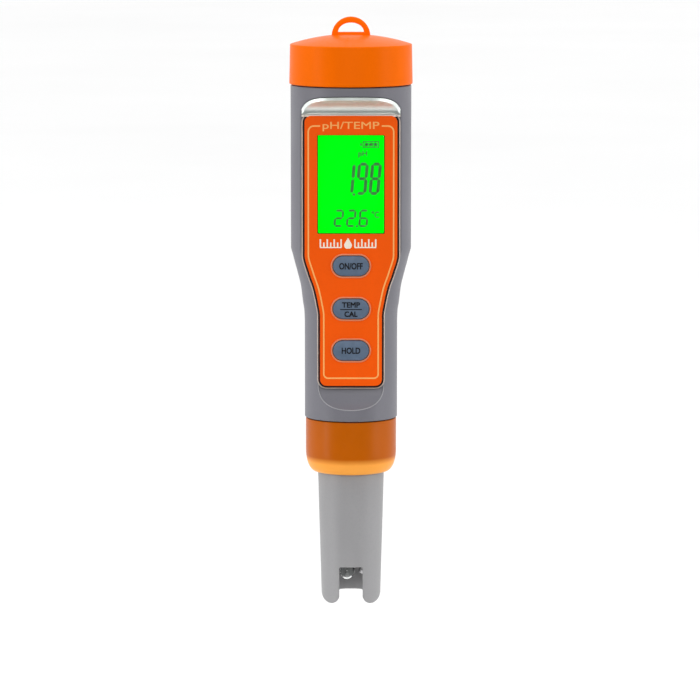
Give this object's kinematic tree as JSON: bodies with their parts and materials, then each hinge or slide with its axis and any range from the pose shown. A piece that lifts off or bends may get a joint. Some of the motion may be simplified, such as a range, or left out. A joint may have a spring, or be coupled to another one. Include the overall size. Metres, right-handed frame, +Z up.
{
  "type": "digital ph meter",
  "caption": "Pocket pH and temperature meter with backlit display, push buttons, screw-on battery cap with hanging loop, and a plug-in probe held by a screw collar.",
  "frame": {"origin": "centre of the hole in the hanging loop on top of the battery cap", "axes": "+Z up the meter's centre line from the probe tip to the loop, front panel facing -Y, +X to the right of someone reading the display"},
  "size_m": [0.038, 0.038, 0.1818],
  "materials": {
    "body_plastic": "fine satin moulded grey ABS",
    "cap_plastic": "glossy moulded orange ABS",
    "trim_silver": "satin silver plating on a moulded frame",
    "overlay_sheet": "printed orange sheet with a fine lighter line",
    "window_plastic": "clear acrylic",
    "button_rubber": "blue-grey silicone rubber",
    "membrane_rubber": "grey silicone rubber",
    "contact_carbon": "conductive carbon rubber",
    "lcd_cell": "liquid crystal cell",
    "light_guide": "green-lit light guide",
    "zebra_rubber": "layered conductive rubber",
    "circuit_board": "green solder mask on glass-fibre board",
    "component_black": "black moulded package",
    "component_metal": "drawn can",
    "led_package": "white package",
    "inner_plastic": "dark moulded plastic",
    "plated_steel": "nickel-plated steel",
    "lead_red": "red insulated lead",
    "lead_black": "black insulated lead",
    "seal_rubber": "black nitrile rubber",
    "ribbon_film": "flat ribbon film",
    "probe_plastic": "satin moulded light grey",
    "electrode_glass": "thin clear glass",
    "silver_wire": "silver wire",
    "junction_ceramic": "porous ceramic",
    "sensor_steel": "stainless tube",
    "gold_pin": "gold-plated brass"
  },
  "bodies": {
    "housing": {"housing_shell": "body_plastic", "bezel_trim": "trim_silver", "front_overlay": "overlay_sheet", "display_window": "window_plastic", "keypad_membrane": "membrane_rubber", "lcd_glass": "lcd_cell", "backlight": "light_guide", "zebra_strip_upper": "zebra_rubber", "zebra_strip_lower": "zebra_rubber", "main_board": "circuit_board", "controller_chip": "component_black", "amplifier_chip": "component_black", "crystal": "component_metal", "capacitor_left": "component_metal", "capacitor_right": "component_metal", "backlight_led": "led_package", "inner_tray": "inner_plastic", "screw_upper_left": "plated_steel", "screw_upper_right": "plated_steel", "screw_lower": "plated_steel", "battery_holder": "inner_plastic", "cell_left_lower": "plated_steel", "cell_left_upper": "plated_steel", "battery_spring_left": "plated_steel", "cell_right_lower": "plated_steel", "cell_right_upper": "plated_steel", "battery_spring_right": "plated_steel", "battery_lead_red": "lead_red", "battery_lead_black": "lead_black", "connector_socket": "inner_plastic", "probe_ribbon": "ribbon_film"},
    "button_on_off": {"button_on_off": "button_rubber", "contact_on_off": "contact_carbon"},
    "button_temp_cal": {"button_temp_cal": "button_rubber", "contact_temp_cal": "contact_carbon"},
    "button_hold": {"button_hold": "button_rubber", "contact_hold": "contact_carbon"},
    "cap_contact": {"cap_contact_plate": "plated_steel"},
    "battery_cap": {"battery_cap": "cap_plastic", "cap_seal": "seal_rubber"},
    "probe": {"probe_body": "probe_plastic", "probe_seal": "seal_rubber", "glass_electrode": "electrode_glass", "electrode_wire": "silver_wire", "reference_junction": "junction_ceramic", "reference_wire": "silver_wire", "temperature_sensor": "sensor_steel", "probe_plug": "inner_plastic", "probe_pin_1": "gold_pin", "probe_pin_2": "gold_pin", "probe_pin_3": "gold_pin", "probe_pin_4": "gold_pin"},
    "collar": {"collar": "cap_plastic"}
  },
  "joints": [
    {"name": "button_on_off_press", "type": "slide", "parent": "housing", "child": "button_on_off", "axis": [0, 1, 0], "range_m": [0, 0.0007], "stiffness_N_per_m": 1500},
    {"name": "button_temp_cal_press", "type": "slide", "parent": "housing", "child": "button_temp_cal", "axis": [0, 1, 0], "range_m": [0, 0.0007], "stiffness_N_per_m": 1500},
    {"name": "button_hold_press", "type": "slide", "parent": "housing", "child": "button_hold", "axis": [0, 1, 0], "range_m": [0, 0.0007], "stiffness_N_per_m": 1500},
    {"name": "cap_lift", "type": "slide", "parent": "housing", "child": "cap_contact", "axis": [0, 0, 1], "range_m": [0, 0.0075]},
    {"name": "cap_turn", "type": "hinge", "parent": "cap_contact", "child": "battery_cap", "pos_m": [0, 0, 0], "axis": [0, 0, 1], "range_deg": [0, 900]},
    {"name": "probe_pull", "type": "slide", "parent": "housing", "child": "probe", "axis": [0, 0, -1], "range_m": [0, 0.0075]},
    {"name": "collar_turn", "type": "hinge", "parent": "probe", "child": "collar", "pos_m": [0, 0, 0], "axis": [0, 0, -1], "range_deg": [0, 900]}
  ],
  "couplings": [
    {"joint": "cap_lift", "follows": "cap_turn", "m_per_rad": 0.00047746},
    {"joint": "probe_pull", "follows": "collar_turn", "m_per_rad": 0.00047746}
  ]
}
